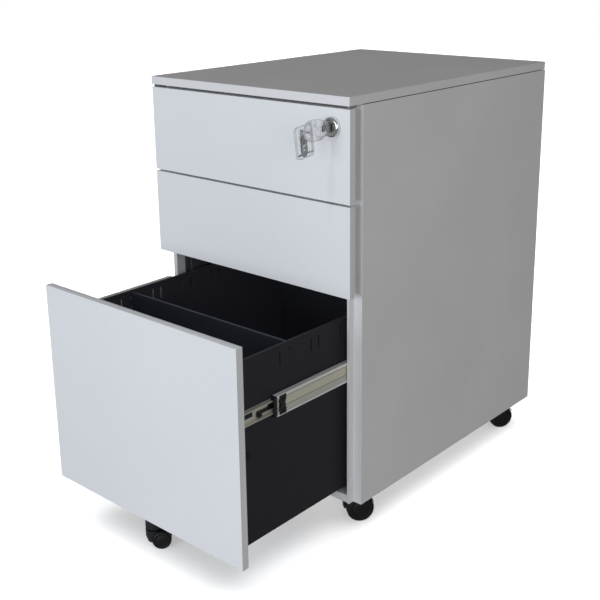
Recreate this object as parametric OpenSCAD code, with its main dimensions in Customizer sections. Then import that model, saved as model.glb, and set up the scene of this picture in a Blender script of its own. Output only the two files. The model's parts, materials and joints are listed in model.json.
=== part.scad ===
// Rolling pedestal cabinet: two small drawers over a hanging-file drawer, all
// in folded sheet steel, on five twin-wheel casters, with a central lock in the
// top drawer. The file drawer is drawn part open. Millimetres, +Z up, +Y
// towards the back. The origin is on the floor under the middle of the model.

/* [Cabinet] */
// Width of the body, the cap and the drawer fronts
cab_w = 390; // [386:1:394]
// Depth from the closed drawer fronts to the back
cab_d = 520; // [515:1:540]
// Height from the floor to the top of the cap
cab_h = 653; // [652:1:656]
// Height of the body's underside above the floor
body_z = 48; // [47:0.5:49]
// Thickness of the body's sheet steel
sheet = 1; // [0.8:0.1:1.2]
// Thickness of the top cap
cap_t = 12; // [10:0.5:12]
// How far the cap stands proud of the drawer fronts
cap_lip = 2; // [0:0.5:4]

/* [Drawers] */
// How far the file drawer stands open
file_open = 221; // [150:1:230]
// Thickness of the outer pan of a drawer front
pan_t = 7.5; // [6:0.5:8]
// Overall thickness of a drawer front
front_t = 11.5; // [11:0.5:12]
// Bottom and top of the file drawer's front
file_front_z = [62.5, 372]; // [60:0.5:380]
// Bottom and top of the middle drawer's front
middle_front_z = [375, 505]; // [375:0.5:505]
// Bottom and top of the top drawer's front
top_front_z = [508, 636.5]; // [508:0.5:637]
// Bottom and top of the file drawer's box
file_box_z = [68, 336]; // [66:1:340]
// Bottom and top of the middle drawer's box
middle_box_z = [387, 477]; // [385:1:480]
// Bottom and top of the top drawer's box
top_box_z = [520, 598]; // [518:1:598]
// Depth of every drawer box
box_d = 460; // [440:1:465]
// Half of the outside width of every drawer box
box_half = 164.5; // [164:0.1:165]

/* [Lock] */
// Distance of the lock's axis from the middle of the front
lock_x = 165; // [150:1:166]
// Height of the lock's axis
lock_z = 611; // [610:0.5:612]
// Radius of the chrome rim
lock_rim_r = 14; // [12:0.5:15]
// Radius at which the cam pin drives the lock bar
cam_pin_throw = 7.5; // [6:0.1:7.5]

/* [Casters] */
// Radius of a caster wheel
wheel_r = 21; // [19:0.5:21]
// Width of one of a caster's two wheels
wheel_w = 14; // [12:0.5:14]
// Distance from the swivel axis to the axle
trail = 15; // [12:0.5:16]
// Distance of the corner casters' swivel axes from the cabinet's sides
caster_side = 45; // [40:1:50]
// Distance of the front casters' swivel axes from the closed fronts
caster_front = 54; // [54:1:70]
// Distance of the rear casters' swivel axes from the back
caster_rear = 56; // [50:1:70]
// Size of the file drawer's caster beside the corner ones
small_caster = 0.67; // [0.65:0.01:0.9]

/* [Hidden] */
$fn = 48;
fit_gap = 0.3;     // play between two sheet parts that move past each other
bore_gap = 0.05;   // radial running clearance of a shaft in its bore

// Planes of the cabinet. The overall depth runs from the open file drawer's
// face to the back, and the origin is in its middle.
overall_d = cab_d + file_open;
front_y = file_open - overall_d / 2;
back_y = overall_d / 2;
half_w = cab_w / 2;
cap_z = cab_h - cap_t;
skin_x = half_w - sheet;           // inner face of a side panel

// Stepped front edge of a side panel, which leaves room for fingers
fold_y = front_y + 27.5;           // where the outer skin turns inwards
post_y = front_y + 17.5;           // front of the post
post_x = 180.4;                    // outer face of the post
opening_x = 176.2;                 // half of the opening between the posts
return_d = 17.5;                   // depth of the post's inner return
return_y = post_y + return_d;      // where the inner return ends

// Floor, frame and back of the body
flange = 15;                       // width of the side panels' turned flanges
base_z = body_z + sheet;
base_t = 1.2;
rail_top = body_z + 12.2;
rail_y = front_y + 19;
rail_d = 21;
notch_half = 33;                   // gap for the cup of the fifth caster
notch_d = 58;
seam = 1.2;                        // shadow line under the cap
header_drop = 16;
frame_t = 1.2;
frame_z = cap_z - seam - frame_t;  // underside of the top frame's plate
neck_in = 6;                       // how far the raised part stays inside the plate's edge
neck_x = 192;
neck_h = 4;
back_t = 1.2;

// Uprights that carry the slides
upright_y = [front_y + 50, front_y + 420];
upright_w = 32;
upright_z = [62, 628];
upright_t = 1.2;

// Slides. Every member is a channel that lies between the box and the upright.
slide_t = 1.2;
slide_out_x = 177.2;               // back of the outer members
slide_y = front_y + 38;            // front end of the outer members
slide_len = 430;
slide_lip_x = 167.5;               // inner edge of the outer members' flanges
slide_lip = 2.5;
file_slide_z = 256.5;
middle_slide_z = 417;
top_slide_z = 548;
file_outer_half = 22.5;
small_outer_half = 17.5;
mid_half = 15;
mid_len = 422;
mid_y = front_y - 128;             // front end of the middle members
mid_x = [167.6, 175.4];
mid_dent = 1.3;                    // how far the web's middle band is pressed in
inner_half = 9.5;
inner_x = 172.4;
inner_from = 20;                   // behind the drawer's face
inner_len = 420;
small_inner_half = 10;
small_inner_x = 174.4;
window_at = 4;                     // window for the retainer, behind the front end
window_len = 14;
file_rail_len = 206;
cap_len = 6;                       // of the retainer, ahead of the member

// Boxes
box_t = 1;
box_lip = 4;
slot_pitch = [111.5, 131, 175, 191, 239, 255, 303, 319];
slot_w = 2.4;
slot_z = [306.8, 325.8];
divider_at = 131;
divider_t = 1.2;
divider_top = 333;
divider_hem = 4;

// Lock
rim_h = 6;
barrel_r = 9.5;
barrel_end = 22.5;                 // behind the front's face
plug_r = 7;
plug_face = 3.5;                   // ahead of the front's face
keyway_gap = 1.2;                  // play on each side of the blade
cam_t = 2;
cam_r = 11;
cam_pin_r = 1.6;
bar_x = [179, 181];
bar_y = [front_y + 30, front_y + 40];
bar_z = [100, 622];
hook_t = 2;
hook_x = 168;
hook_h = 10;
hook_drop = 16.5;                  // hook's lower edge below the catch's middle
catch_half = 5;
catch_x = 173;
catch_y = 33.5;                    // behind the drawer's face
catch_file_z = 200;
catch_middle_z = 462;
catch_top_z = 586;
guide_z = [120, 330, 500];
guide_h = 6;

// Key, which lies in an upright plane through the lock's axis
blade_t = 2.2;
blade_h = 8;
blade_in = 16;                     // behind the front's face
blade_out = 20;                    // ahead of the front's face
key_hub_t = 5.4;
key_hub_r = 14;
key_hub_at = [29, 42];             // ends of the oval, ahead of the front's face
key_neck_at = 12;
key_neck_half = 10;
key_pivot = 50.8;                  // ahead of the front's face
key_pin_r = 1.2;
key_pin_head_r = 1.9;
key_pin_head_t = 0.6;
bow_x = [157, 161.8];
bow_skin = 1.6;                    // clear plastic over each side of the insert
bow_at = [50.5, 598];              // middle of the bow: ahead of the face, height
bow_half = [15.75, 21.5];
bow_tilt = 7;
bow_r = 5;

// Casters, in the order front left, front right, rear left, rear right
hood_r = wheel_r + 1.8;
hood_gap = 0.8;
guard_up = 11;                     // how far above the axle the guard's ends are
dome_r = [8, 8, 8, 8, 20];          // of the hood round its swivel axis
web_half = 5.5;
wheel_gap = 1.5;
axle_r = 3;
axle_inset = 2;                    // how far the axle ends inside the wheels' caps
kingpin_r = 4;
plate_side = 38;
plate_t = 2.5;
plate_z = base_z - plate_t;
race_r = 12;
race_h = 2.4;
screw_at = 14;
screw_r = 2;
screw_head_r = 3.4;
screw_head_h = 2;
corner_x = half_w - caster_side;
corner_y = [front_y + caster_front, back_y - caster_rear];
caster_at = [[-corner_x, corner_y[0]], [corner_x, corner_y[0]],
             [-corner_x, corner_y[1]], [corner_x, corner_y[1]],
             [-16, front_y - file_open + 31]];
caster_turn = [-70, -38, -115, -36, -45];
caster_scale = [1, 1, 1, 1, small_caster];
cup_r = 13.4;                      // of the cup that carries the fifth caster
cup_t = 2;
cup_flange = 5;

// ---------------------------------------------------------------- helpers

// A box between two corners
module block(low, high) {
    translate(low)
        cube([high[0] - low[0], high[1] - low[1], high[2] - low[2]]);
}

// The children, and their mirror image in the cabinet's middle plane
module both_sides() {
    children();
    mirror([1, 0, 0]) children();
}

// A flat rectangle with round corners, centred across X
module round_plate(half, y0, y1, r) {
    translate([-half + r, y0]) square([2 * half - 2 * r, y1 - y0]);
    translate([-half, y0 + r]) square([2 * half, y1 - y0 - 2 * r]);
    for (x = [-half + r, half - r])
        for (y = [y0 + r, y1 - r])
            translate([x, y]) circle(r);
}

// A cylinder that runs along +Y from y0 to y1
module along_y(r, x, z, y0, y1) {
    translate([x, y0, z]) rotate([-90, 0, 0]) cylinder(r = r, h = y1 - y0);
}

// A cylinder that runs along +X from x0 to x1
module along_x(r, x0, x1, y, z) {
    translate([x0, y, z]) rotate([0, 90, 0]) cylinder(r = r, h = x1 - x0);
}

// ------------------------------------------------------------------- body

// Outline of the right side panel, seen from above: skin, step and post
module side_outline() {
    translate([skin_x, fold_y]) square([sheet, back_y - fold_y]);
    translate([post_x - sheet, fold_y]) square([half_w - post_x + sheet, sheet]);
    translate([post_x - sheet, post_y]) square([sheet, fold_y - post_y + sheet]);
    translate([opening_x, post_y]) square([post_x - opening_x, sheet]);
    translate([opening_x, post_y]) square([sheet, return_d]);
    translate([half_w - flange, back_y - sheet]) square([flange, sheet]);
}

// Right side panel, with a flange turned in under the base
module side_panel(with_slots) {
    difference() {
        union() {
            translate([0, 0, body_z])
                linear_extrude(cap_z - seam - body_z) side_outline();
            block([half_w - flange, fold_y, body_z], [skin_x, back_y, base_z]);
        }
        if (with_slots) {
            for (z = [catch_file_z, catch_middle_z, catch_top_z])
                lock_slot(z - hook_drop - 2, z + catch_half + 4);
            lock_slot(lock_z - 16, lock_z + 16);
        }
    }
}

// Opening in the post's inner return that a finger of the lock bar works in
module lock_slot(z0, z1) {
    block([opening_x - 1, bar_y[0] - 2, z0], [opening_x + sheet + 0.5, return_y + 1, z1]);
}

module side_panel_left() {
    color("gainsboro") mirror([1, 0, 0]) side_panel(false);
}

module side_panel_right() {
    color("gainsboro") side_panel(true);
}

module back_panel() {
    color("gainsboro")
        block([-skin_x, back_y - sheet - back_t, base_z + base_t],
              [skin_x, back_y - sheet, frame_z]);
}

// Floor of the body, notched in front for the cup of the fifth caster
module base_panel() {
    color("gainsboro") difference() {
        union() {
            block([-skin_x, return_y, base_z], [skin_x, back_y - sheet, base_z + base_t]);
            block([-opening_x, fold_y + sheet, base_z], [opening_x, return_y, base_z + base_t]);
        }
        block([-notch_half, front_y, base_z - 1],
              [notch_half, rail_y + notch_d, base_z + base_t + 1]);
        for (i = [0:3])
            for (s = screw_places(caster_at[i]))
                translate([s[0], s[1], base_z - 1]) cylinder(r = screw_r + bore_gap, h = 4);
    }
}

// Bottom rail in the opening, in two lengths with the caster gap between
module front_rail() {
    color("gainsboro") both_sides() {
        block([notch_half, rail_y, body_z], [opening_x, rail_y + sheet, rail_top]);
        block([notch_half, rail_y, rail_top - sheet], [opening_x, rail_y + rail_d, rail_top]);
        block([notch_half, rail_y, body_z], [opening_x, return_y, base_z]);
    }
}

// Folded pan with a turned-in lip, closed by the top frame under it
module top_cap() {
    color("silver") difference() {
        translate([0, 0, cap_z])
            linear_extrude(cap_t) round_plate(half_w, front_y - cap_lip, back_y, 2.5);
        translate([0, 0, cap_z + sheet])
            linear_extrude(cap_t - 2 * sheet)
                round_plate(half_w - sheet, front_y - cap_lip + sheet, back_y - sheet, 1.5);
        translate([0, 0, cap_z - 1])
            linear_extrude(cap_t - 2 * sheet)
                round_plate(half_w - flange, front_y + flange, back_y - flange, 1.5);
    }
}

// Plate that closes the body, raised within its edges to carry the cap, with a
// header rail turned down and a neck round the front ends of the seam
module top_frame() {
    plate_top = frame_z + frame_t;
    color("gainsboro") {
        block([-skin_x, return_y, frame_z], [skin_x, back_y - sheet, plate_top]);
        block([-skin_x + neck_in, return_y + neck_in, frame_z],
              [skin_x - neck_in, back_y - sheet - neck_in, cap_z]);
        block([-opening_x, post_y, frame_z], [opening_x, return_y, plate_top]);
        block([-opening_x, post_y, cap_z - header_drop],
              [opening_x, post_y + frame_t, plate_top]);
        block([-neck_x, post_y - frame_t, cap_z - neck_h], [neck_x, post_y, cap_z]);
        both_sides()
            block([neck_x - frame_t, front_y + 2, cap_z - neck_h], [neck_x, post_y, cap_z]);
    }
}

// Four channels that open towards the side panels
module slide_uprights() {
    color("lightslategray") both_sides() {
        for (y = upright_y) {
            block([slide_out_x, y, upright_z[0]],
                  [slide_out_x + upright_t, y + upright_w, upright_z[1]]);
            block([slide_out_x, y, upright_z[0]],
                  [skin_x, y + upright_t, upright_z[1]]);
            block([slide_out_x, y + upright_w - upright_t, upright_z[0]],
                  [skin_x, y + upright_w, upright_z[1]]);
        }
    }
}

// ----------------------------------------------------------------- slides

// Outer member: a channel with lipped flanges that hold the ball track
module slide_outer(z, half) {
    color("darkkhaki") both_sides() {
        y1 = slide_y + slide_len;
        block([slide_out_x - slide_t, slide_y, z - half], [slide_out_x, y1, z + half]);
        for (s = [-1, 1]) {
            edge = z + s * half;
            inner = z + s * (half - slide_t);
            lip = z + s * (half - slide_t - slide_lip);
            block([slide_lip_x, slide_y, min(edge, inner)],
                  [slide_out_x, y1, max(edge, inner)]);
            block([slide_lip_x, slide_y, min(lip, inner)],
                  [slide_lip_x + slide_t, y1, max(lip, inner)]);
        }
    }
}

module slide_outer_top() {
    slide_outer(top_slide_z, small_outer_half);
}

module slide_outer_middle() {
    slide_outer(middle_slide_z, small_outer_half);
}

module slide_outer_file() {
    slide_outer(file_slide_z, file_outer_half);
}

// Section of the file drawer's middle member, in X and Z: two bands that stand
// out, a pressed middle band with two ribs, and two flanges turned inwards
module mid_section() {
    band = 5.2;
    rib = 1.5;
    rib_at = 3.6;
    rib_h = 0.8;
    web_x = mid_x[1] - slide_t - mid_dent;
    for (s = [-1, 1]) {
        edge = s * mid_half;
        translate([mid_x[1] - slide_t, min(edge, edge - s * band)]) square([slide_t, band]);
        translate([mid_x[0], min(edge, edge - s * slide_t)])
            square([mid_x[1] - mid_x[0], slide_t]);
        translate([web_x, s > 0 ? mid_half - band - slide_t : band - mid_half])
            square([slide_t + mid_dent, slide_t]);
        translate([web_x, s * rib_at - rib / 2]) square([slide_t + rib_h, rib]);
    }
    translate([web_x, band - mid_half]) square([slide_t, 2 * (mid_half - band)]);
}

// Middle member, with a window near its front end for the plastic retainer
module file_slide_mid() {
    color("darkkhaki") both_sides() difference() {
        translate([0, mid_y + mid_len, file_slide_z])
            rotate([90, 0, 0]) linear_extrude(mid_len) mid_section();
        block([mid_x[0] + slide_t, mid_y + window_at, file_slide_z - mid_half + slide_t],
              [mid_x[1] + 1, mid_y + window_at + window_len, file_slide_z + mid_half - slide_t]);
    }
}

// Plastic ends of the middle members: a cap ahead of the member, two arms above
// and below the inner member, and a cross in the member's window
module file_slide_retainers() {
    reach = mid_half - slide_t;
    cross_x = mid_x[1] - slide_t - mid_dent;
    web_in = cross_x - 0.2;
    window = [mid_y + window_at, mid_y + window_at + window_len];
    arm = 5.5;
    color("black") both_sides() {
        for (s = [-1, 1]) {
            near = file_slide_z + s * (inner_half + fit_gap);
            far = file_slide_z + s * reach;
            block([mid_x[0] + slide_t, mid_y - cap_len, min(near, far)],
                  [web_in, window[1], max(near, far)]);
            block([web_in, window[0], min(near, far)], [mid_x[1], window[1], max(near, far)]);
            block([web_in, mid_y - cap_len, min(near, far)], [mid_x[1], mid_y, max(near, far)]);
        }
        block([cross_x, mid_y - cap_len, file_slide_z - reach],
              [mid_x[1], mid_y, file_slide_z + reach]);
        intersection() {
            block([cross_x, window[0], file_slide_z - reach],
                  [mid_x[1], window[1], file_slide_z + reach]);
            for (turn = [62, -62])
                translate([cross_x - 1, (window[0] + window[1]) / 2, file_slide_z])
                    rotate([turn, 0, 0])
                        translate([0, -20, -arm / 2]) cube([10, 40, arm]);
        }
    }
}

// Inner member: a channel screwed to the box, with slots in its web
module slide_inner(face_y, z, half, reach_x, slots) {
    color("darkkhaki") both_sides() difference() {
        union() {
            y0 = face_y + inner_from;
            y1 = y0 + inner_len;
            block([box_half, y0, z - half], [box_half + slide_t, y1, z + half]);
            block([box_half, y0, z - half], [reach_x, y1, z - half + slide_t]);
            block([box_half, y0, z + half - slide_t], [reach_x, y1, z + half]);
        }
        for (at = slots)
            block([box_half - 1, face_y + at, z - 3.5],
                  [box_half + slide_t + 1, face_y + at + 16, z + 3.5]);
    }
}

module top_slide_inner() {
    slide_inner(front_y, top_slide_z, small_inner_half, small_inner_x, [60, 210, 360]);
}

module middle_slide_inner() {
    slide_inner(front_y, middle_slide_z, small_inner_half, small_inner_x, [60, 210, 360]);
}

module file_slide_inner() {
    slide_inner(front_y - file_open, file_slide_z, inner_half, inner_x, [40, 100, 210, 360]);
}

// Release levers, which lie in the inner members and are bent at one end
module file_slide_levers() {
    y0 = front_y - file_open + 62;
    x0 = box_half + slide_t;
    color("black") both_sides() {
        block([x0, y0, file_slide_z - 3], [x0 + 3.4, y0 + 30, file_slide_z + 1]);
        block([x0, y0, file_slide_z - 6.5], [x0 + 4.6, y0 + 7, file_slide_z - 3]);
        block([x0, y0 + 22, file_slide_z + 1], [x0 + 4.6, y0 + 30, file_slide_z + 7]);
    }
}

// ---------------------------------------------------------------- drawers

// Outer pan of a drawer front, open towards the back
module drawer_front(face_y, z) {
    color("aliceblue") difference() {
        block([-half_w, face_y, z[0]], [half_w, face_y + pan_t, z[1]]);
        block([-half_w + sheet, face_y + sheet, z[0] + sheet],
              [half_w - sheet, face_y + pan_t + 1, z[1] - sheet]);
        children();
    }
}

// Inner pan that closes a drawer front and carries the box
module drawer_liner(face_y, z) {
    color("white") difference() {
        block([-half_w, face_y + pan_t, z[0]], [half_w, face_y + front_t, z[1]]);
        block([-half_w + sheet, face_y + pan_t - 1, z[0] + sheet],
              [half_w - sheet, face_y + front_t - sheet, z[1] - sheet]);
        children();
    }
}

// Box of a drawer: a floor and four walls, with the side walls' tops turned in
module drawer_box(face_y, z) {
    y0 = face_y + front_t;
    y1 = y0 + box_d;
    color("dimgray") difference() {
        block([-box_half, y0, z[0]], [box_half, y1, z[1]]);
        block([-box_half + box_lip, y0 + box_t, z[0] + box_t],
              [box_half - box_lip, y1 - box_t, z[1] + 1]);
        block([-box_half + box_t, y0 + box_t, z[0] + box_t],
              [box_half - box_t, y1 - box_t, z[1] - box_t]);
        children();
    }
}

// Angle on the box's right wall that the lock bar's hook stops
module drawer_catch(face_y, z) {
    y0 = face_y + catch_y;
    color("black") {
        block([box_half, y0, z - catch_half], [catch_x, y0 + hook_t, z + catch_half]);
        block([box_half, y0, z - catch_half], [box_half + slide_t, y0 + 16, z + catch_half]);
    }
}

module top_drawer_front() {
    drawer_front(front_y, top_front_z)
        along_y(barrel_r, lock_x, lock_z, front_y - 1, front_y + pan_t + 1);
}

module top_drawer_liner() {
    drawer_liner(front_y, top_front_z)
        along_y(barrel_r, lock_x, lock_z, front_y, front_y + front_t + 1);
}

module top_drawer_box() {
    drawer_box(front_y, top_box_z);
}

module top_drawer_catch() {
    drawer_catch(front_y, catch_top_z);
}

module middle_drawer_front() {
    drawer_front(front_y, middle_front_z);
}

module middle_drawer_liner() {
    drawer_liner(front_y, middle_front_z);
}

module middle_drawer_box() {
    drawer_box(front_y, middle_box_z);
}

module middle_drawer_catch() {
    drawer_catch(front_y, catch_middle_z);
}

module file_drawer_front() {
    drawer_front(front_y - file_open, file_front_z);
}

module file_drawer_liner() {
    drawer_liner(front_y - file_open, file_front_z);
}

// The file box's side walls have pairs of slots that the divider hooks into
module file_drawer_box() {
    face_y = front_y - file_open;
    drawer_box(face_y, file_box_z)
        for (at = slot_pitch)
            block([-half_w, face_y + at - slot_w / 2, slot_z[0]],
                  [half_w, face_y + at + slot_w / 2, slot_z[1]]);
}

module file_drawer_catch() {
    drawer_catch(front_y - file_open, catch_file_z);
}

// Plate across the file drawer, hemmed at the top, hooked into a slot each side
module file_divider() {
    y0 = front_y - file_open + divider_at - divider_t / 2;
    half = box_half - box_t - fit_gap;
    color("dimgray") {
        block([-half, y0, file_box_z[0] + box_t], [half, y0 + divider_t, divider_top]);
        block([-half, y0, divider_top - 3], [half, y0 + divider_hem, divider_top]);
        both_sides()
            block([half - 1, y0, slot_z[0] + 3], [box_half, y0 + divider_t, slot_z[1] - 5]);
    }
}

// Rail for hanging files on the outside of the left wall, which backs its slots
module file_rail() {
    y0 = front_y - file_open + front_t;
    y1 = y0 + file_rail_len;
    top = file_box_z[1];
    notch_y = front_y - file_open + 116;
    color("tan") difference() {
        union() {
            block([-box_half - slide_t, y0, slot_z[0] - 5], [-box_half, y1, top]);
            block([-170, y0, top - slide_t], [-box_half, y1, top]);
            block([-170, y0, top - 2.6], [-169, y1, top]);
            block([-175.4, y0, top - 2.6], [-169, y1, top - 2.6 + slide_t]);
        }
        block([-177, notch_y, top - 4], [-167.5, notch_y + 2, top + 1]);
    }
}

// Flanged cup under the file drawer that carries its caster
module file_caster_bracket() {
    z0 = base_z * small_caster;
    z1 = file_box_z[0];
    color("black") translate([caster_at[4][0], caster_at[4][1], 0]) difference() {
        union() {
            translate([0, 0, z0]) cylinder(r = cup_r, h = z1 - z0);
            translate([0, 0, z1 - cup_t]) cylinder(r = cup_r + cup_flange, h = cup_t);
        }
        translate([0, 0, z0 + cup_t]) cylinder(r = cup_r - cup_t, h = z1 - z0);
    }
}

// ------------------------------------------------------------------- lock

// Chrome housing through the top drawer's front: a domed rim and a barrel
module lock_housing() {
    color("silver") difference() {
        translate([lock_x, front_y, lock_z]) rotate([90, 0, 0]) rotate_extrude($fn = 96) {
            polygon([[0, 0], [lock_rim_r, 0], [lock_rim_r, rim_h - 3], [lock_rim_r - 0.6, rim_h - 1.4],
                     [lock_rim_r - 1.8, rim_h - 0.3], [lock_rim_r - 3, rim_h], [lock_rim_r - 4, rim_h - 0.4],
                     [lock_rim_r - 4.6, rim_h - 1.6], [0, rim_h - 2.2]]);
            translate([0, -barrel_end]) square([barrel_r, barrel_end]);
        }
        along_y(plug_r + bore_gap, lock_x, lock_z, front_y - rim_h - 1, front_y + barrel_end + 1);
    }
}

// Plug with an upright keyway
module lock_plug() {
    color("dimgray") difference() {
        along_y(plug_r, lock_x, lock_z, front_y - plug_face, front_y + barrel_end + 0.5);
        block([lock_x - blade_t / 2 - keyway_gap, front_y - plug_face - 1,
               lock_z - blade_h / 2 - 0.5],
              [lock_x + blade_t / 2 + keyway_gap, front_y + blade_in + 1,
               lock_z + blade_h / 2 + 0.5]);
    }
}

// Cam on the plug's back end. Its pin stands 45 degrees below the level line
// when unlocked and 45 degrees above it when locked.
module lock_cam() {
    y0 = front_y + barrel_end + 0.5;
    throw = cam_pin_throw * cos(45);
    color("silver") {
        along_y(cam_r, lock_x, lock_z, y0, y0 + cam_t);
        along_y(cam_pin_r, lock_x - throw, lock_z - throw, y0, bar_y[0] + hook_t + 2);
    }
}

// Upright bar in the right post, with a slotted plate that the cam pin drives
// and a hook below the catch of each drawer
module lock_bar() {
    throw = cam_pin_throw * cos(45);
    slot_half = cam_pin_r + 0.45;
    color("lightgray") difference() {
        union() {
            block([bar_x[0], bar_y[0], bar_z[0]], [bar_x[1], bar_y[1], bar_z[1]]);
            for (z = [catch_file_z, catch_middle_z, catch_top_z])
                block([hook_x, bar_y[0], z - hook_drop],
                      [bar_x[1], bar_y[0] + hook_t, z - hook_drop + hook_h]);
            block([lock_x - throw - 10, bar_y[0], lock_z - throw - 6],
                  [bar_x[1], bar_y[0] + hook_t, lock_z - throw + 6]);
        }
        block([lock_x - cam_pin_throw - 4, bar_y[0] - 1, lock_z - throw - slot_half],
              [lock_x + 4, bar_y[0] + hook_t + 1, lock_z - throw + slot_half]);
    }
}

// Plastic blocks in the right post that the lock bar slides through
module lock_bar_guides() {
    color("white") for (z = guide_z)
        difference() {
            block([opening_x + sheet, fold_y + sheet, z], [skin_x, bar_y[1] + 6, z + guide_h]);
            block([bar_x[0] - fit_gap, bar_y[0] - fit_gap, z - 1],
                  [bar_x[1] + fit_gap, bar_y[1] + fit_gap, z + guide_h + 1]);
        }
}

// -------------------------------------------------------------------- key

module key_blade() {
    color("silver")
        block([lock_x - blade_t / 2, front_y - blade_out, lock_z - blade_h / 2],
              [lock_x + blade_t / 2, front_y + blade_in, lock_z + blade_h / 2]);
}

// Clear head moulded round the blade: an oval plate with a neck to the blade
module key_hub() {
    x0 = lock_x - key_hub_t / 2;
    x1 = lock_x + key_hub_t / 2;
    color("white", 0.4) difference() {
        union() {
            for (y = key_hub_at) along_x(key_hub_r, x0, x1, front_y - y, lock_z);
            block([x0, front_y - key_hub_at[1], lock_z - key_hub_r],
                  [x1, front_y - key_hub_at[0], lock_z + key_hub_r]);
            block([x0, front_y - key_hub_at[0], lock_z - key_neck_half],
                  [x1, front_y - key_neck_at, lock_z + key_neck_half]);
        }
        block([lock_x - blade_t / 2, front_y - blade_out, lock_z - blade_h / 2],
              [lock_x + blade_t / 2, front_y, lock_z + blade_h / 2]);
        along_x(key_pin_r, x0 - 1, x1 + 1, front_y - key_pivot, lock_z);
    }
}

// Hinge pin: fixed in the hub, a running fit in the bow, with a head each end
module key_pin() {
    y = front_y - key_pivot;
    hub_side = lock_x + key_hub_t / 2;
    bow_side = bow_x[0] - fit_gap;
    color("silver") {
        along_x(key_pin_r, bow_side, hub_side, y, lock_z);
        along_x(key_pin_head_r, hub_side, hub_side + key_pin_head_t, y, lock_z);
        along_x(key_pin_head_r, bow_side - key_pin_head_t, bow_side, y, lock_z);
    }
}

// Turns an outline drawn upright round the bow's middle into a tilted plate
module bow_plate(x0, x1) {
    translate([x0, front_y - bow_at[0], bow_at[1]])
        rotate([bow_tilt, 0, 0]) rotate([90, 0, 90]) linear_extrude(x1 - x0) children();
}

// Outline of the metal insert in the bow: a key's tip, a body with two windows
// and a crossbar at the foot
module insert_outline() {
    difference() {
        union() {
            translate([-5.7, 8]) square([4.4, 9]);
            translate([-6.8, 1]) square([8.4, 8]);
            translate([-7, -15.5]) square([12, 17.5]);
            translate([-13.5, -17.5]) square([28, 2.2]);
            translate([-4, -20]) square([6.5, 4]);
        }
        for (y = [-12, -7]) translate([-4.2, y]) square([6.4, 1.8]);
    }
}

// Clear bow that hangs from the hinge pin
module key_bow() {
    color("white", 0.4) difference() {
        bow_plate(bow_x[0], bow_x[1]) round_plate(bow_half[0], -bow_half[1], bow_half[1], bow_r);
        bow_plate(bow_x[0] + bow_skin, bow_x[1] - bow_skin) insert_outline();
        along_x(key_pin_r + bore_gap, bow_x[0] - 1, bow_x[1] + 1, front_y - key_pivot, lock_z);
    }
}

module key_insert() {
    color("dimgray") bow_plate(bow_x[0] + bow_skin, bow_x[1] - bow_skin) insert_outline();
}

// ---------------------------------------------------------------- casters

// Where the four screws of a caster's plate are
function screw_places(at) = [for (dx = [-screw_at, screw_at])
                                for (dy = [-screw_at, screw_at]) [at[0] + dx, at[1] + dy]];

// Puts the children at caster i, at its size but square to the cabinet
module on_plate(i) {
    translate([caster_at[i][0], caster_at[i][1], 0]) scale(caster_scale[i]) children();
}

// Puts the children at caster i, at its size and turned as it stands
module at_caster(i) {
    on_plate(i) rotate([0, 0, caster_turn[i]]) children();
}

// Mounting plate with a bearing race under it and a bore for the kingpin
module caster_plate(i, screwed) {
    on_plate(i) difference() {
        union() {
            if (screwed)
                translate([-plate_side / 2, -plate_side / 2, plate_z])
                    cube([plate_side, plate_side, plate_t]);
            else
                translate([0, 0, plate_z]) cylinder(r = plate_side / 2, h = plate_t);
            translate([0, 0, plate_z - race_h]) cylinder(r = race_r, h = race_h);
        }
        translate([0, 0, plate_z - race_h - 1])
            cylinder(r = kingpin_r + bore_gap, h = race_h + plate_t + 2);
        if (screwed)
            for (s = screw_places([0, 0]))
                translate([s[0], s[1], plate_z - 1])
                    cylinder(r = screw_r + bore_gap, h = plate_t + 2);
    }
}

module caster_plates() {
    color("darkgray") for (i = [0:3]) caster_plate(i, true);
}

// The file drawer's caster has a round plate, welded to the cup
module file_caster_plate() {
    color("darkgray") caster_plate(4, false);
}

// Screws of the corner casters, up through the plates and the base
module caster_screws() {
    color("silver") for (i = [0:3])
        for (s = screw_places(caster_at[i]))
            translate([s[0], s[1], plate_z - screw_head_h]) {
                cylinder(r = screw_head_r, h = screw_head_h);
                cylinder(r = screw_r, h = screw_head_h + plate_t + base_t + 3);
            }
}

// A cylinder round caster i's axle, from x0 to x1
module round_axle(r, x0, x1) {
    along_x(r, x0, x1, trail, wheel_r);
}

// Hood of a caster: a web between the wheels, a guard over them and a kingpin
module caster_hood(i) {
    guard_half = web_half + wheel_gap + wheel_w;
    color("black") at_caster(i) difference() {
        union() {
            round_axle(wheel_r - 2, -web_half, web_half);
            intersection() {
                round_axle(hood_r, -guard_half, guard_half);
                translate([-50, trail - 50, wheel_r + guard_up]) cube([100, 100, 40]);
            }
            intersection() {
                union() {
                    translate([0, 0, wheel_r - 6]) cylinder(r1 = dome_r[i] - 4, r2 = dome_r[i], h = 12);
                    translate([0, 0, wheel_r + 6]) cylinder(r = dome_r[i], h = hood_r - 6);
                }
                translate([-50, -50, 0]) cube([100, 50 + trail, 60]);
            }
            translate([0, 0, wheel_r]) cylinder(r = kingpin_r, h = base_z - wheel_r - fit_gap);
            block([-web_half, -8, wheel_r - 4], [web_half, trail, wheel_r + hood_r - 6]);
        }
        round_axle(wheel_r + hood_gap, web_half, web_half + 40);
        round_axle(wheel_r + hood_gap, -web_half - 40, -web_half);
        round_axle(axle_r + bore_gap, -50, 50);
    }
}

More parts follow.
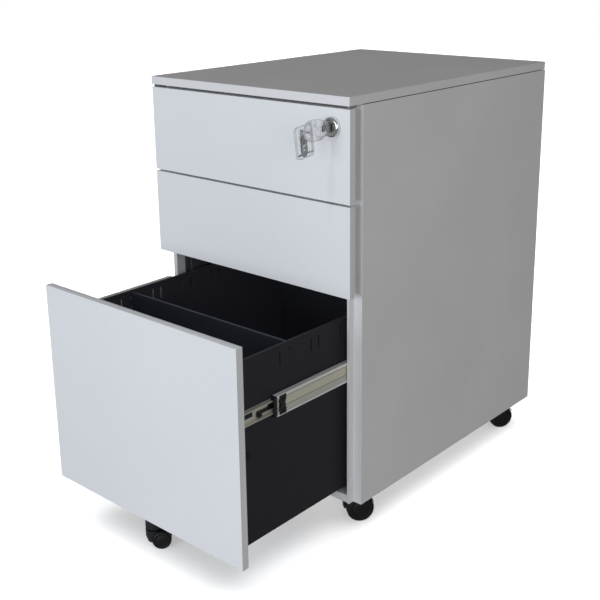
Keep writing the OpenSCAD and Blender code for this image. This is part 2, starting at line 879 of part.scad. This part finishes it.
// Two wheels pressed on one axle, each closed outside by a domed hub cap
module caster_wheels(i) {
    inner = web_half + wheel_gap;
    tread = wheel_r;
    w = wheel_w;
    cap_in = wheel_w - axle_inset;
    color("black") at_caster(i) for (side = [0, 1])
        mirror([side, 0, 0]) translate([inner, trail, wheel_r]) rotate([0, 90, 0])
            rotate_extrude($fn = 96)
                polygon([[axle_r, 0], [tread - 1.5, 0], [tread, 1.5], [tread, w - 4.5],
                         [tread - 0.8, w - 2.4], [tread - 2.4, w - 0.8], [tread - 4.5, w],
                         [tread - 6.5, w], [tread - 7.5, w - 1], [tread - 9, w - 1],
                         [tread - 10, w - 0.3], [tread - 13, w + 0.5], [0, w + 1],
                         [0, cap_in], [axle_r, cap_in]]);
}

module caster_axle(i) {
    reach = web_half + wheel_gap + wheel_w - axle_inset;
    color("silver") at_caster(i) round_axle(axle_r, -reach, reach);
}

// ------------------------------------------------------------------ nodes

side_panel_left();
side_panel_right();
back_panel();
base_panel();
front_rail();
top_cap();
top_frame();
slide_uprights();
slide_outer_top();
slide_outer_middle();
slide_outer_file();
caster_plates();
caster_screws();
lock_bar_guides();
lock_bar();
top_drawer_front();
top_drawer_liner();
top_drawer_box();
top_slide_inner();
top_drawer_catch();
middle_drawer_front();
middle_drawer_liner();
middle_drawer_box();
middle_slide_inner();
middle_drawer_catch();
file_drawer_front();
file_drawer_liner();
file_drawer_box();
file_slide_inner();
file_drawer_catch();
file_divider();
file_rail();
file_slide_levers();
file_caster_bracket();
file_caster_plate();
file_slide_mid();
file_slide_retainers();
lock_housing();
lock_plug();
lock_cam();
key_blade();
key_hub();
key_pin();
key_bow();
key_insert();
caster_hood(0);  // front_left_hood
caster_wheels(0);  // front_left_wheels
caster_axle(0);  // front_left_axle
caster_hood(1);  // front_right_hood
caster_wheels(1);  // front_right_wheels
caster_axle(1);  // front_right_axle
caster_hood(2);  // rear_left_hood
caster_wheels(2);  // rear_left_wheels
caster_axle(2);  // rear_left_axle
caster_hood(3);  // rear_right_hood
caster_wheels(3);  // rear_right_wheels
caster_axle(3);  // rear_right_axle
caster_hood(4);  // file_hood
caster_wheels(4);  // file_wheels
caster_axle(4);  // file_axle
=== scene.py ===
import json
import math

import bmesh
import bpy
from mathutils import Matrix, Vector


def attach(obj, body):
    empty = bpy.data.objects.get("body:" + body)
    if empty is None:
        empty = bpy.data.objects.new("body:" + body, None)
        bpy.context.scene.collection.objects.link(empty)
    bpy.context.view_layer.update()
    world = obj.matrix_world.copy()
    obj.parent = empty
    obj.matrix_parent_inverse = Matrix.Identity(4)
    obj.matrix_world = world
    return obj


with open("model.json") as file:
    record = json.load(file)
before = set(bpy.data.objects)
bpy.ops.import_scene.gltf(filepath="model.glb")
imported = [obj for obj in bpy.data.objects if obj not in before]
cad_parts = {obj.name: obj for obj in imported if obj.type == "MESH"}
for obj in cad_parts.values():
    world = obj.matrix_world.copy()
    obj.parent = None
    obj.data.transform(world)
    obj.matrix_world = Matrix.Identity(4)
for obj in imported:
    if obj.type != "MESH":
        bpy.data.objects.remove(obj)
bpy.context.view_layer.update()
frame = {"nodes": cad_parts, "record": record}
nodes = frame["nodes"]

MM = 0.001

# ------------------------------------------------------------------ camera

CAMERA_AT = Vector((1.0162, -1.1781, 0.8388))
CAMERA_PITCH = 16.007     # degrees below the level
CAMERA_YAW = 41.52        # degrees to the left of +Y
CAMERA_ROLL = -0.704
CAMERA_LENS = 61.03       # mm
CAMERA_SENSOR = 36        # mm
CAMERA_SHIFT_Y = -0.1
CAMERA_CLIP = (0.05, 60)  # m


def make_camera():
    pitch, yaw, roll = (math.radians(a) for a in (CAMERA_PITCH, CAMERA_YAW, CAMERA_ROLL))
    level = Vector((-math.sin(yaw), math.cos(yaw), 0))
    ahead = level * math.cos(pitch) - Vector((0, 0, math.sin(pitch)))
    right = Vector((math.cos(yaw), math.sin(yaw), 0))
    up = right.cross(ahead)
    side = right * math.cos(roll) + up * math.sin(roll)
    top = up * math.cos(roll) - right * math.sin(roll)
    camera = bpy.data.objects.new("camera", bpy.data.cameras.new("camera"))
    bpy.context.scene.collection.objects.link(camera)
    camera.data.sensor_width = CAMERA_SENSOR
    camera.data.lens = CAMERA_LENS
    camera.data.shift_y = CAMERA_SHIFT_Y
    camera.data.clip_start, camera.data.clip_end = CAMERA_CLIP
    turned = Matrix((side, top, -ahead)).transposed().to_4x4()
    camera.matrix_world = Matrix.Translation(CAMERA_AT) @ turned
    bpy.context.scene.camera = camera


# --------------------------------------------------------------- materials

# Noise scales, in features per metre
CLOUDS = 5.0
STAINS = 38.0
HAZE = 45.0
DUST = 60.0
FLOW = 210.0
FILM = 220.0
ORANGE_PEEL = 900.0
LEATHER = 1400.0
ROLLED = (900, 9, 900)    # lines drawn out along Y
BRUSHED = (1600, 1600, 90)
ROLLED_DARK = (0.50, 0.48, 0.40)


class Shader:
    """A material under construction: nodes made by type and linked by what their sockets are given."""

    def __init__(self, name):
        self.material = bpy.data.materials.new(name)
        self.material.use_nodes = True
        self.tree = self.material.node_tree
        self.tree.nodes.clear()
        self.output = self.tree.nodes.new("ShaderNodeOutputMaterial")
        self.coordinates = self.node("ShaderNodeTexCoord").outputs["Object"]

    def node(self, kind, settings=None, **sockets):
        made = self.tree.nodes.new(kind)
        for key, value in (settings or {}).items():
            setattr(made, key, value)
        for key, value in sockets.items():
            self.put(made.inputs[key.replace("_", " ")], value)
        return made

    def put(self, socket, value):
        if isinstance(value, bpy.types.NodeSocket):
            self.tree.links.new(value, socket)
        else:
            socket.default_value = value

    def stretched(self, scale):
        mapping = self.node("ShaderNodeMapping", Vector=self.coordinates)
        mapping.inputs["Scale"].default_value = scale
        return mapping.outputs["Vector"]

    def noise(self, scale, detail=3.0, stretch=None, rough=0.5):
        made = self.node("ShaderNodeTexNoise", Scale=scale, Detail=detail, Roughness=rough)
        self.put(made.inputs["Vector"], self.stretched(stretch) if stretch else self.coordinates)
        return made.outputs["Fac"]

    def ramp(self, value, low, high, from_low=0.3, from_high=0.7):
        made = self.node("ShaderNodeMapRange", Value=value)
        made.inputs["From Min"].default_value = from_low
        made.inputs["From Max"].default_value = from_high
        made.inputs["To Min"].default_value = low
        made.inputs["To Max"].default_value = high
        return made.outputs["Result"]

    def blend(self, factor, a, b):
        made = self.node("ShaderNodeMix", {"data_type": "RGBA"})
        self.put(made.inputs[0], factor)
        self.put(made.inputs[6], a)
        self.put(made.inputs[7], b)
        return made.outputs[2]

    def bump(self, height, strength, distance):
        made = self.node("ShaderNodeBump", Strength=strength, Distance=distance, Height=height)
        return made.outputs["Normal"]

    def part(self, vector, axis):
        """One axis of a texture coordinate: Object, Generated or Normal."""
        source = self.node("ShaderNodeTexCoord").outputs[vector]
        return self.node("ShaderNodeSeparateXYZ", Vector=source).outputs[axis]

    def principled(self, **sockets):
        made = self.node("ShaderNodeBsdfPrincipled")
        for key, value in sockets.items():
            self.put(made.inputs[key.replace("_", " ")], value)
        self.tree.links.new(made.outputs[0], self.output.inputs["Surface"])
        return self.material


def rgba(colour, gain=1.0):
    return (colour[0] * gain, colour[1] * gain, colour[2] * gain, 1.0)


def powder_coat(name, colour, rough, grain=0.10, mottle=0.03, gloss=0.5):
    """Baked paint on sheet steel: a fine orange peel, faint clouding and slightly uneven gloss."""
    s = Shader(name)
    clouds = s.noise(CLOUDS, 2.0)
    dust = s.noise(DUST, 4.0)
    tone = s.blend(s.ramp(clouds, 0.0, 1.0), rgba(colour, 1 - mottle), rgba(colour, 1 + mottle))
    tone = s.blend(s.ramp(dust, 0.0, 0.10), tone, rgba(colour, 0.86))
    peel = s.noise(ORANGE_PEEL, 2.0)
    return s.principled(Base_Color=tone, Roughness=s.ramp(dust, rough - 0.05, rough + 0.05),
                        Specular_IOR_Level=gloss, Normal=s.bump(peel, grain, 0.0002))


def zinc_plate(name, light, dark, rough=0.38, along=ROLLED, metallic=0.85):
    """Zinc on rolled steel: fine lines along the strip and soft stains."""
    s = Shader(name)
    lines = s.noise(1.0, 3.0, stretch=along)
    stains = s.noise(STAINS, 4.0)
    tone = s.blend(s.ramp(lines, 0.0, 1.0), rgba(dark), rgba(light))
    tone = s.blend(s.ramp(stains, 0.0, 0.35), tone, rgba(dark, 0.8))
    return s.principled(Base_Color=tone, Metallic=metallic,
                        Roughness=s.ramp(stains, rough - 0.08, rough + 0.12),
                        Normal=s.bump(lines, 0.15, 0.0001))


def strip_with_painted_light(name, stops, rough=0.42):
    """Zinc on a strip folded along its length: bands of tone from its lower edge to its upper one, painted
    highlights and painted shade that stand in for the light on its folds.
    """
    s = Shader(name)
    ramp = s.node("ShaderNodeValToRGB", Fac=s.part("Generated", "Z"))
    elements = ramp.color_ramp.elements
    elements[0].position, elements[0].color = stops[0][0], rgba(stops[0][1])
    elements[1].position, elements[1].color = stops[-1][0], rgba(stops[-1][1])
    for at, colour in stops[1:-1]:
        elements.new(at).color = rgba(colour)
    lines = s.noise(1.0, 3.0, stretch=ROLLED)
    stains = s.noise(STAINS, 4.0)
    tone = s.blend(s.ramp(lines, 0.0, 0.25), ramp.outputs["Color"], rgba(ROLLED_DARK))
    return s.principled(Base_Color=tone, Metallic=0.25,
                        Roughness=s.ramp(stains, rough - 0.08, rough + 0.12),
                        Normal=s.bump(lines, 0.15, 0.0001))


def bright_metal(name, colour, rough, scratch=0.04):
    """Bare or plated metal under a thin uneven film, with fine scratches."""
    s = Shader(name)
    film = s.noise(FILM, 5.0)
    marks = s.noise(1.0, 2.0, stretch=BRUSHED)
    tone = s.blend(s.ramp(film, 0.0, 0.3), rgba(colour), rgba(colour, 0.82))
    return s.principled(Base_Color=tone, Metallic=1.0, Roughness=s.ramp(film, rough, rough + 0.08),
                        Normal=s.bump(marks, scratch, 0.00005))


def moulded(name, colour, rough, grain=0.25, gloss=0.5):
    """Solid plastic from a grained mould, slightly uneven in tone."""
    s = Shader(name)
    leather = s.noise(LEATHER, 2.0)
    haze = s.noise(HAZE, 4.0)
    tone = s.blend(s.ramp(haze, 0.0, 1.0), rgba(colour, 0.85), rgba(colour, 1.25))
    return s.principled(Base_Color=tone, Roughness=s.ramp(haze, rough - 0.06, rough + 0.08),
                        Specular_IOR_Level=gloss, Normal=s.bump(leather, grain, 0.0001))


def clear_plastic(name, cloud):
    """Clear moulding: nearly see-through on its flat sides, denser along its rims, where the
    surface turns away from X. Cloud is how dense its streaks are."""
    s = Shader(name)
    flow = s.noise(FLOW, 3.0)
    facing = s.part("Normal", "X")
    side = s.node("ShaderNodeMath", {"operation": "ABSOLUTE"}, Value=facing).outputs[0]
    rim = s.ramp(side, 0.55, 0.04, 0.15, 0.98)
    alpha = s.node("ShaderNodeMath", {"operation": "ADD"})
    s.put(alpha.inputs[0], s.ramp(flow, 0.0, cloud, 0.48, 0.70))
    s.put(alpha.inputs[1], rim)
    tone = s.blend(s.ramp(flow, 0.0, 1.0), rgba((0.36, 0.35, 0.37)), rgba((0.62, 0.61, 0.63)))
    return s.principled(Base_Color=tone, Roughness=s.ramp(flow, 0.08, 0.2), Alpha=alpha.outputs[0],
                        Normal=s.bump(flow, 0.15, 0.0002))


WHITE = (0.80, 0.80, 0.80)
# Painted shade: a dark grey for the top frame and the recess tab, so that the seam under the cap reads dark
SEAM_SHADE_GREY = (0.26, 0.26, 0.27)
BOX_BLACK = (0.0255, 0.0250, 0.0285)
# Lighter and bluer than the box's black: painted light, the bluish light on the divider inside the open box
DIVIDER_LIT_BLACK = (0.030, 0.034, 0.043)
LINED = (60, 60, 9)       # faint lines down an upright
SPECKLED = (40, 40, 40)

# One look for each material slot of the record
LOOKS = {
    "body_paint": powder_coat("body_paint", WHITE, 0.42),
    # The cap's white is a little warmer than the body's: painted light, the warm tone the light gives its
    # top
    "cap_paint": powder_coat("cap_paint", (0.806, 0.796, 0.79), 0.42),
    "front_paint": powder_coat("front_paint", WHITE, 0.36, grain=0.07, mottle=0.015),
    "liner_paint": powder_coat("liner_paint", WHITE, 0.42),
    "box_paint": powder_coat("box_paint", BOX_BLACK, 0.45, grain=0.3, gloss=0.05),
    "upright_paint": zinc_plate("upright_zinc", (0.42, 0.46, 0.52), (0.25, 0.28, 0.33), 0.5, LINED),
    "zinc": zinc_plate("zinc", (0.86, 0.85, 0.76), (0.60, 0.58, 0.49), metallic=0.25),
    "rail_zinc": zinc_plate("rail_zinc", (0.78, 0.76, 0.72), (0.52, 0.49, 0.46), 0.5, metallic=0.3),
    "chrome": bright_metal("chrome", (0.86, 0.87, 0.88), 0.05),
    "lock_metal": bright_metal("lock_metal", (0.36, 0.35, 0.33), 0.30, 0.2),
    "key_steel": bright_metal("key_steel", (0.40, 0.40, 0.39), 0.42, 0.2),
    "clear_plastic": clear_plastic("clear_plastic", 0.42),
    "black_plastic": moulded("black_plastic", (0.007, 0.007, 0.009), 0.45),
    "guide_plastic": moulded("guide_plastic", (0.72, 0.72, 0.68), 0.45),
    "wheel_plastic": moulded("wheel_plastic", (0.006, 0.006, 0.007), 0.50, 0.1, 0.28),
    "plate_steel": zinc_plate("plate_steel", (0.5, 0.5, 0.5), (0.34, 0.34, 0.34), 0.42, SPECKLED),
}

# A slide member's bands, from its lower edge to its upper one: a painted highlight on the fold at each edge,
# a grey band, and a wide warm one, with thin lines of painted shade for the creases beside it
FOLD_HIGHLIGHT, GREY = (0.95, 0.95, 0.92), (0.66, 0.66, 0.62)
WARM, CREASE_SHADE = (0.78, 0.75, 0.60), (0.28, 0.27, 0.24)
STRIP_LIGHT_AND_SHADE = (
    (0.0, FOLD_HIGHLIGHT), (0.09, FOLD_HIGHLIGHT), (0.12, CREASE_SHADE), (0.15, GREY), (0.36, GREY), (0.39, CREASE_SHADE),
    (0.42, WARM), (0.80, WARM), (0.83, CREASE_SHADE), (0.86, GREY), (0.90, FOLD_HIGHLIGHT), (1.0, FOLD_HIGHLIGHT),
)

# Nodes that look unlike the rest of their slot
NODE_LOOKS = {
    "key_bow": clear_plastic("bow_plastic", 0.10),
    # Its bands are painted light and shade: highlights on the folds, shade in the creases
    "file_slide_mid": strip_with_painted_light("zinc_mid_painted_light", STRIP_LIGHT_AND_SHADE),
    "file_caster_bracket": LOOKS["black_plastic"],
    "file_caster_plate": LOOKS["black_plastic"],
    # The divider: a lit copy of the box's black paint, painted lighter and bluer
    "file_divider": powder_coat("divider_painted_light", DIVIDER_LIT_BLACK, 0.45, grain=0.3, gloss=0.2),
    # The top frame is painted dark grey, darker than its white slot: painted shade in the seam under the cap
    "top_frame": powder_coat("frame_painted_seam_shade", SEAM_SHADE_GREY, 0.5),
}

# ---------------------------------------------------- the frame's own nodes

# Widths, in mm, that the sharp edges are rolled over by
EDGE = {
    "top_cap": 1.0, "top_drawer_front": 0.8, "middle_drawer_front": 0.8, "file_drawer_front": 0.8,
    "top_drawer_liner": 0.6, "middle_drawer_liner": 0.6, "file_drawer_liner": 0.6,
    "side_panel_left": 0.45, "side_panel_right": 0.45,
}
EDGE_REST = 0.25
NO_EDGE = {"lock_housing"}
WELD = 0.005              # mm between points that are one
FLAT = 0.1                # degrees within which neighbouring faces are one
SHARP = 35                # degrees from which an edge is rolled over


def soften(obj, width):
    """Roll the sharp edges of a node over and shade it smooth, leaving its mesh as it is."""
    attribute = obj.data.attributes.get("custom_normal")
    if attribute:
        obj.data.attributes.remove(attribute)
    for polygon in obj.data.polygons:
        polygon.use_smooth = True
    weld = obj.modifiers.new("weld", "WELD")
    weld.merge_threshold = WELD * MM
    if width:
        flat = obj.modifiers.new("flat", "DECIMATE")
        flat.decimate_type = "DISSOLVE"
        flat.angle_limit = math.radians(FLAT)
        bevel = obj.modifiers.new("edges", "BEVEL")
        bevel.width = width * MM
        bevel.segments = 3
        bevel.limit_method = "ANGLE"
        bevel.angle_limit = math.radians(SHARP)
    normal = obj.modifiers.new("normals", "WEIGHTED_NORMAL")
    normal.weight = 100
    normal.thresh = 0.001


def dress(obj, slot):
    obj.data.materials.clear()
    obj.data.materials.append(NODE_LOOKS.get(obj.name, LOOKS[slot]))


for part in frame["record"]["subparts"]:
    node = nodes[part["node"]]
    dress(node, part["material_slot"])
    soften(node, 0 if node.name in NO_EDGE else EDGE.get(node.name, EDGE_REST))

# -------------------------------------------------------- a piece of its own

# The tab's corners, in mm. It hangs beside the left post, behind the top drawer's front.
TAB_LOW = (-194.6, -137.4, 631.0)
TAB_HIGH = (-193.6, -122.2, 639.6)


def plate(name, low, high, material):
    """A flat plate with rolled edges between two corners."""
    mesh = bpy.data.meshes.new(name)
    shape = bmesh.new()
    bmesh.ops.create_cube(shape, size=1.0)
    size = [(b - a) * MM for a, b in zip(low, high)]
    middle = [(a + b) / 2 * MM for a, b in zip(low, high)]
    bmesh.ops.scale(shape, vec=size, verts=shape.verts)
    bmesh.ops.translate(shape, vec=middle, verts=shape.verts)
    rolled = min(size) / 5
    bmesh.ops.bevel(shape, geom=shape.edges, offset=rolled, segments=2, affect="EDGES")
    shape.to_mesh(mesh)
    shape.free()
    mesh.materials.append(material)
    made = bpy.data.objects.new(name, mesh)
    bpy.context.scene.collection.objects.link(made)
    return made


# Folded down from the top frame, it closes the top of the left finger recess. It wears the top frame's dark
# grey, painted shade under the cap.
tab = plate("recess_tab", TAB_LOW, TAB_HIGH, NODE_LOOKS["top_frame"])
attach(tab, "carcass")

# ------------------------------------------------------------ floor and light

FLOOR_HALF = 8.0          # m
FLOOR_PATCHES = 3.0       # per metre
FLOOR_TONES = (0.86, 0.86, 0.86), (0.88, 0.88, 0.88)
SUN_ANGLE = 80            # degrees
AMBIENT = 0.25
AMBIENT_BELOW = 0.22
AMBIENT_COLOUR = (0.99, 0.99, 1.0)
HORIZON = 0.25            # half of the band in Z where one turns into the other


def make_floor():
    mesh = bpy.data.meshes.new("floor")
    h = FLOOR_HALF
    mesh.from_pydata([(-h, -h, 0), (h, -h, 0), (h, h, 0), (-h, h, 0)], [], [(0, 1, 2, 3)])
    floor = bpy.data.objects.new("floor", mesh)
    bpy.context.scene.collection.objects.link(floor)
    s = Shader("floor")
    patches = s.ramp(s.noise(FLOOR_PATCHES, 2.0), 0.0, 1.0)
    tone = s.blend(patches, rgba(FLOOR_TONES[0]), rgba(FLOOR_TONES[1]))
    mesh.materials.append(s.principled(Base_Color=tone, Roughness=0.8, Specular_IOR_Level=0.1))
    floor.visible_diffuse = False
    floor.visible_glossy = False
    return floor


def add_light(name, kind, power, colour=(1, 1, 1), lit=None):
    """A light that only the objects of the collection lit receive, if there is one."""
    light = bpy.data.objects.new(name, bpy.data.lights.new(name, kind))
    bpy.context.scene.collection.objects.link(light)
    light.data.energy = power
    light.data.color = colour
    if lit:
        light.light_linking.receiver_collection = lit
    return light


def soft_box(name, at, target, size, power, colour, lit=None):
    """A rectangular light at one point, turned to another."""
    light = add_light(name, "AREA", power, colour, lit)
    light.data.shape = "RECTANGLE"
    light.data.size, light.data.size_y = size
    light.location = at
    light.rotation_mode = "QUATERNION"
    light.rotation_quaternion = (Vector(at) - Vector(target)).to_track_quat("Z", "Y")
    return light


def sky_sun(name, power, lit):
    """An even light from above."""
    light = add_light(name, "SUN", power, lit=lit)
    light.data.angle = math.radians(SUN_ANGLE)
    return light


def only(name, *objects):
    """A collection for light linking."""
    made = bpy.data.collections.new(name)
    for obj in objects:
        made.objects.link(obj)
    return made


def make_world():
    """White to the camera. For everything else a dim surround, darker below the level."""
    world = bpy.data.worlds.new("studio")
    bpy.context.scene.world = world
    world.use_nodes = True
    tree = world.node_tree
    tree.nodes.clear()

    direction = tree.nodes.new("ShaderNodeTexCoord")
    split = tree.nodes.new("ShaderNodeSeparateXYZ")
    height = tree.nodes.new("ShaderNodeMapRange")
    height.inputs["From Min"].default_value = -HORIZON
    height.inputs["From Max"].default_value = HORIZON
    height.inputs["To Min"].default_value = AMBIENT_BELOW
    height.inputs["To Max"].default_value = AMBIENT
    surround = tree.nodes.new("ShaderNodeBackground")
    surround.inputs["Color"].default_value = rgba(AMBIENT_COLOUR)
    backdrop = tree.nodes.new("ShaderNodeBackground")
    backdrop.inputs["Color"].default_value = rgba((1, 1, 1))
    path = tree.nodes.new("ShaderNodeLightPath")
    mix = tree.nodes.new("ShaderNodeMixShader")
    out = tree.nodes.new("ShaderNodeOutputWorld")

    tree.links.new(direction.outputs["Generated"], split.inputs["Vector"])
    tree.links.new(split.outputs["Z"], height.inputs["Value"])
    tree.links.new(height.outputs["Result"], surround.inputs["Strength"])
    tree.links.new(path.outputs["Is Camera Ray"], mix.inputs[0])
    tree.links.new(surround.outputs["Background"], mix.inputs[1])
    tree.links.new(backdrop.outputs["Background"], mix.inputs[2])
    tree.links.new(mix.outputs["Shader"], out.inputs["Surface"])


# Points that the soft boxes face
MIDDLE = (0.0, 0.0, 0.33)
FRONTS = (0.1, -0.15, 0.5)
OPEN_BOX = (0.0, -0.2, 0.25)

# Their tints
COOL = (0.905, 0.98, 1.09)
COOL_ABOVE = (0.92, 0.98, 1.07)
SOFT_WARM = (1.0, 0.99, 0.975)
BLUISH = (0.90, 0.95, 1.15)

make_camera()
floor = make_floor()
make_world()

floor_only = only("floor_only", floor)
box_only = only("box_only", nodes["file_drawer_box"], nodes["file_divider"])
fronts_only = only("fronts_only", *(nodes[drawer + "_drawer_front"] for drawer in ("top", "middle", "file")))

soft_box("key", (0.1, -3.6, 0.8), MIDDLE, (2.6, 1.6), 66, COOL)
soft_box("fill", (2.7, -1.9, 1.0), MIDDLE, (1.2, 1.6), 18, SOFT_WARM)
soft_box("key_top", (0.15, -1.3, 2.4), FRONTS, (0.15, 0.15), 5.5, COOL_ABOVE, fronts_only)
inside = soft_box("inside", (0.75, -0.6, 1.4), OPEN_BOX, (0.6, 0.6), 8, BLUISH, box_only)
sky_sun("floor_sun", 1.2, floor_only)
floor_lift = sky_sun("floor_lift", 3.4, floor_only)
for light in (inside, floor_lift):
    light.data.use_shadow = False
bpy.context.scene.view_settings.view_transform = "Standard"
